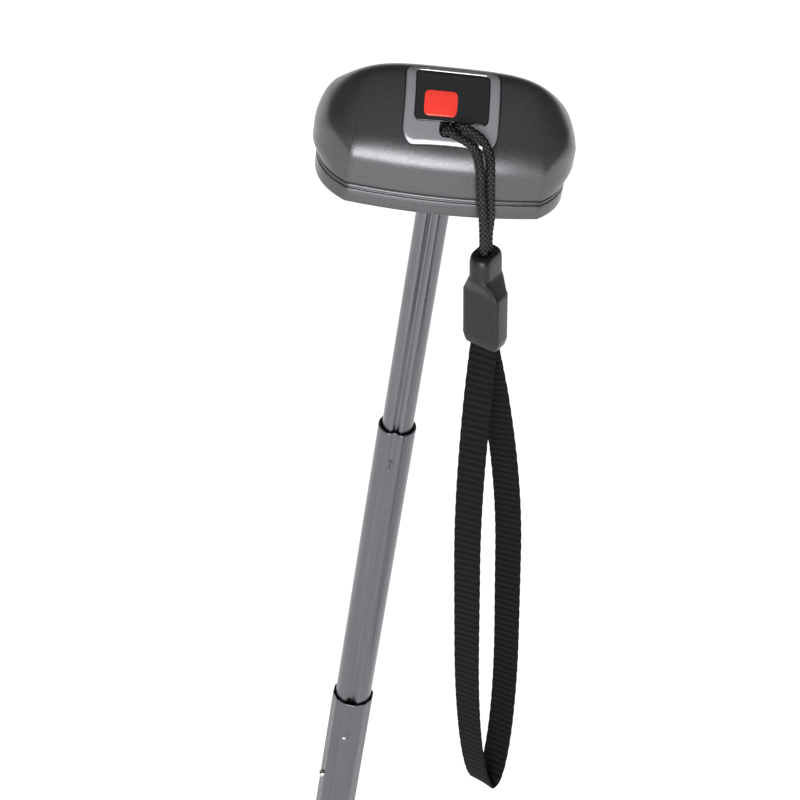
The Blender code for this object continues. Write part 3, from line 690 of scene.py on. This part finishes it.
def punch_mark(across, z):
    """Small arrowhead punch with a scored line under it."""
    down = DIMPLE_MID_Z - z
    width = 0.62 * (1.0 - smoothstep((down + 0.3) / 1.0))
    arrow = 0.0
    if -0.6 < down < 1.0:
        arrow = smoothstep((width - abs(across)) / 0.3) * smoothstep((down + 0.55) / 0.15)
    score = 0.12 * smoothstep((0.16 - abs(across)) / 0.12) if 0.4 < down < 3.1 else 0.0
    return max(0.33 * arrow, score)


outer_tube = tube("outer_tube_shell", faceted(OUTER_R), OUTER_WALL, PLUG_LIP, OUTER_MOUTH, round_dimple,
                  DIMPLE_OUTER_Z, 0.12)
mid_tube = tube("mid_tube_shell", fluted(MID_R, FLUTE_MID), MID_WALL, OUTER_MOUTH - OVERLAP, MID_MOUTH,
                punch_mark, DIMPLE_MID_Z - 1.2, 0.30)
inner_tube = tube("inner_tube_shell", fluted(INNER_R, FLUTE_INNER), INNER_WALL,
                  MID_MOUTH - OVERLAP, INNER_TOP)

catch_dir = Vector((math.cos(math.radians(CATCH_TURN)), math.sin(math.radians(CATCH_TURN)), 0.0))
catch_mid = catch_dir * 5.5 + Vector((0, 0, CATCH_Z))
outer_tube = carve(outer_tube, [
    rod("catch_cut", CATCH_R + 0.12, catch_mid - catch_dir * 0.9, catch_mid + catch_dir * 2),
    rod("rivet_cut", 1.03, (-7.5, 0, 7.0), (7.5, 0, 7.0))], angle=50)
inner_tube = carve(inner_tube, [rod("pin_cut", 1.03, (-7, 0, G + 10.0), (7, 0, G + 10.0))], angle=50)
piece("outer_tube_shell", TUBE_OUTER, "shaft_outer", ("outer_tube",))(outer_tube)
piece("mid_tube_shell", TUBE_MID, "shaft_mid", ("mid_tube",))(mid_tube)
piece("inner_tube_shell", TUBE_INNER, "grip", ("inner_tube",))(inner_tube)

ball_profile = [(-0.38, 1.0), (-0.28, 1.08)] + [
    (CATCH_R * math.sin(math.radians(a)), CATCH_R * math.cos(math.radians(a))) for a in range(0, 90, 6)]
ball = lathe("catch_ball_dome", ball_profile, catch_mid, catch_dir)
piece("catch_ball_dome", STEEL, "catch", ("catch_ball",))(ball)


# ---- grip shells -------------------------------------------------------------------------------
def bezier(p0, p1, p2, p3, t):
    s = 1.0 - t
    return tuple(s ** 3 * a + 3 * s * s * t * b + 3 * s * t * t * c + t ** 3 * d
                 for a, b, c, d in zip(p0, p1, p2, p3))


def plan(inset=0.0, end_inset=0.0, front=44, quarter=34):
    """Grip outline, anticlockwise from the front left corner; end_inset pulls in the ends only."""
    corner, depth, end = CORNER_X, HALF_Y - inset, END_X - inset - end_inset
    corner -= inset * 0.36
    p0 = (corner, -depth)
    p1 = (corner + 4.6 * math.cos(math.radians(40)), -depth + 4.6 * math.sin(math.radians(40)))
    turn = [bezier(p0, p1, (end, -7.5), (end, 0.0), k / quarter) for k in range(quarter)]
    half = [(x, -depth - bow(x, corner)) for x in (corner * (2 * k / front - 1) for k in range(front))]
    half += turn + [(end, 0.0)] + [(x, -y) for x, y in reversed(turn[1:])]
    return half + [(-x, -y) for x, y in half]


def shell_rings(offset, base, wall_rows, dome_rows, **counts):
    """Rings of the upper shell, offset mm inside its outer skin, from base upwards."""
    rings = []
    radius = max(EDGE_R - offset, 0.6)
    tops = [dome(x, y, -offset) for x, y in plan(0.0, **counts)]
    for k in range(wall_rows + 1):
        t = k / wall_rows
        outline = plan(offset, TUCK * max(0.0, 1.0 - 2.2 * t) ** 2, **counts)
        rings.append([(x, y, base + (top - radius - base) * t) for (x, y), top in zip(outline, tops)])
    for k in range(1, 11):
        turned = k * math.pi / 20
        outline = plan(offset + radius * (1.0 - math.cos(turned)), **counts)
        rings.append([(x, y, dome(x, y, -offset) - radius * (1.0 - math.sin(turned))) for x, y in outline])
    inner = plan(offset + radius, **counts)
    for k in range(1, dome_rows):
        left = 1.0 - k / dome_rows
        rings.append([(x * left, y * left, dome(x * left, y * left, -offset)) for x, y in inner])
    return rings


def raised(rings):
    return [[(x, y, z + G) for x, y, z in ring] for ring in rings]


def rounded(box, inset=0.0, radius=1.0, arc=8, straight=14):
    """Rounded rectangle, anticlockwise, with extra points along its straight sides."""
    x0, x1, y0, y1 = box[0] + inset, box[1] - inset, box[2] + inset, box[3] - inset
    radius = max(0.15, radius - inset)
    corners = ((x1 - radius, y0 + radius, -90), (x1 - radius, y1 - radius, 0),
               (x0 + radius, y1 - radius, 90), (x0 + radius, y0 + radius, 180))
    points = []
    for n, (cx, cy, start) in enumerate(corners):
        turned = [math.radians(start + 90 * k / arc) for k in range(arc + 1)]
        points += [(cx + radius * math.cos(a), cy + radius * math.sin(a)) for a in turned]
        nx, ny, after = corners[(n + 1) % 4]
        last, first = points[-1], (nx + radius * math.cos(math.radians(after)),
                                   ny + radius * math.sin(math.radians(after)))
        points += [tuple(a + (b - a) * k / straight for a, b in zip(last, first))
                   for k in range(1, straight)]
    return points


def on_dome(outline, height):
    return [(x, y, G + surface(x, y, height)) for x, y in outline]


def toward_middle(outline, k):
    cx, cy = sum(p[0] for p in outline) / len(outline), sum(p[1] for p in outline) / len(outline)
    return [(cx + (x - cx) * k, cy + (y - cy) * k) for x, y in outline]


def plate(name, box, radius, low, high, edge=0.0):
    """A plate that follows the dome, with a rounded upper edge."""
    outline = rounded(box, 0.0, radius)
    middle = (0.08, 0.2, 0.35, 0.5, 0.65, 0.8, 0.92)
    rows = [on_dome(toward_middle(outline, k), low) for k in middle] + [on_dome(outline, low)]
    if edge:
        for k in range(7):
            a = k * math.pi / 12
            rows.append(on_dome(rounded(box, edge * (1 - math.cos(a)), radius),
                                high - edge * (1 - math.sin(a))))
        outline = rounded(box, edge, radius)
    else:
        rows.append(on_dome(outline, high))
    rows += [on_dome(toward_middle(outline, k), high) for k in reversed(middle)]
    return loft(name, rows)


SEAM = 5.2
outside = raised(shell_rings(0.0, SEAM + 0.18, 12, 46))
lip = [[(x, y, G + z) for x, y in plan(i, TUCK)] for i, z in ((0.5, SEAM), (0.18, SEAM), (0.05, SEAM + 0.06))]
inside = raised(shell_rings(SHELL_WALL, SEAM, 4, 12))
upper_shell = loft("grip_cap", list(reversed(inside)) + lip + outside)
upper_shell = carve(upper_shell, [
    plate("recess_cut", (BADGE[0] - 0.3, BADGE[1] + 0.3, BADGE[2] - 0.3, BADGE[3] + 0.3), 2.9, -1.05, 4.0),
    loft("hole_cut", [[(x, y, z) for x, y in rounded(HOLE, 0.0, 1.2)]
                      for z in (G + 13.9, G + 30.0)])], angle=32)
piece("grip_cap", PAINT, "grip", ("grip_upper_shell",))(upper_shell)

BASE_PROFILE = ((2.2, 0.0), (0.42, 0.0), (0.24, 0.03), (0.11, 0.11), (0.03, 0.24), (0.0, 0.42), (0.0, 1.3),
                (0.0, 2.5), (0.0, 3.5), (0.03, 3.60), (0.09, 3.69), (0.18, 3.77), (0.30, 3.84), (0.33, 3.92),
                (0.30, 4.04), (0.18, 4.12), (0.06, 4.22), (0.0, 4.38), (0.03, 4.58), (0.12, 4.78),
                (0.24, 4.96), (0.38, 5.09), (0.7, 5.15))
base_rows = [[(x, y, G + z) for x, y in plan(i, TUCK)] for i, z in BASE_PROFILE]
base_rows += [[(x, y, G + z) for x, y in plan(SHELL_WALL + 0.2, TUCK)] for z in (5.15, 1.8)]
lower_shell = loft("grip_base", base_rows, angle=32)
base_cuts = [rod("sleeve_cut", INNER_R + 0.35, (0, 0, G - 2), (0, 0, G + 4), 96)]
for sx in (-1, 1):
    base_cuts += [rod(f"head_cut_{sx}", 2.4, (18 * sx, 0, G - 1), (18 * sx, 0, G + 1.1)),
                  rod(f"shank_cut_{sx}", 1.35, (18 * sx, 0, G - 1), (18 * sx, 0, G + 4))]
lower_shell = carve(lower_shell, base_cuts, angle=32)
piece("grip_base", PAINT, "grip", ("grip_lower_shell",))(lower_shell)

# ---- badge -------------------------------------------------------------------------------------
window = (PANEL[0] - 0.2, PANEL[1] + 0.2, PANEL[2] - 0.2, PANEL[3] + 0.2)
rows = [on_dome(rounded(window, 0.0, 1.2), -0.6), on_dome(rounded(BADGE, 0.0, 2.6), -0.6)]
for k in range(9):
    a = k * math.pi / 16
    rows.append(on_dome(rounded(BADGE, 0.45 * (1 - math.cos(a)), 2.6), 0.35 - 0.35 * (1 - math.sin(a))))
outer_line, inner_line = rounded(BADGE, 0.45, 2.6), rounded(window, -0.28, 1.2)
for k in range(1, 8):
    rows.append(on_dome([(a + (c - a) * k / 8, b + (d - b) * k / 8)
                         for (a, b), (c, d) in zip(outer_line, inner_line)], 0.35))
for k in range(7):
    a = k * math.pi / 12
    rows.append(on_dome(rounded(window, -0.28 * (1 - math.sin(a)), 1.2), 0.35 - 0.25 * (1 - math.cos(a))))
badge_ring = loft("badge_rim", rows, join=True, angle=50)
badge_ring = carve(badge_ring, [loft("ring_hole_cut", [[(x, y, z) for x, y in rounded(HOLE, 0.0, 1.2)]
                                                       for z in (G + 13.9, G + 30.0)])], angle=50)
piece("badge_rim", SILVER, "grip", ("badge_frame",))(badge_ring)
panel = plate("badge_face", PANEL, 1.0, -0.6, 0.08, 0.1)
piece("badge_face", GLOSS_BLACK, "grip", ("badge_panel",))(panel)
tile = plate("badge_mark", TILE, 1.1, 0.1, 0.45, 0.12)
piece("badge_mark", RED, "grip", ("badge_tile",))(tile)

# ---- CAD parts that stay -----------------------------------------------------------------------
for mat, names in ((BUSH, ("crown_end_plug", "mid_tube_bush", "inner_tube_bush", "tube_socket")),
                   (STEEL, ("crown_rivet", "catch_leaf_spring", "tube_cross_pin", "shell_screw_left",
                            "shell_screw_right", "strap_anchor_pin"))):
    for name in names:
        for n in range(max(1, len(nodes[name].material_slots))):
            if nodes[name].material_slots:
                nodes[name].material_slots[n].material = mat
            else:
                nodes[name].data.materials.append(mat)

# ---- floor and lights --------------------------------------------------------------------------
floor_mesh = bpy.data.meshes.new("floor")
floor_mesh.from_pydata([(6 * math.cos(k * math.tau / 64), 6 * math.sin(k * math.tau / 64), -0.001)
                        for k in range(64)], [], [tuple(range(64))])
floor_mesh.materials.append(pale_floor())
floor = bpy.data.objects.new("floor", floor_mesh)
scene.collection.objects.link(floor)

world = bpy.data.worlds.new("studio")
world.use_nodes = True
world.node_tree.nodes["Background"].inputs["Color"].default_value = (1.0, 1.0, 1.0, 1.0)
world.node_tree.nodes["Background"].inputs["Strength"].default_value = 0.13
scene.world = world
scene.view_settings.view_transform = "Standard"


def soft_light(name, at, toward, size, power, height=None, shade=(1, 1, 1)):
    data = bpy.data.lights.new(name, "AREA")
    data.shape, data.size, data.size_y = "RECTANGLE", size, height or size
    data.energy, data.color = power, shade
    obj = bpy.data.objects.new(name, data)
    obj.location = at
    obj.rotation_mode = "QUATERNION"
    obj.rotation_quaternion = (Vector(toward) - Vector(at)).to_track_quat("-Z", "Y")
    obj.visible_camera = False
    scene.collection.objects.link(obj)


MIDDLE = (0.0, 0.0, 0.30)
soft_light("front_strip", (-0.15, -1.6, 0.42), MIDDLE, 1.3, 30.0, 0.6)
soft_light("overhead", (0.0, 0.0, 2.4), MIDDLE, 3.4, 6.0)
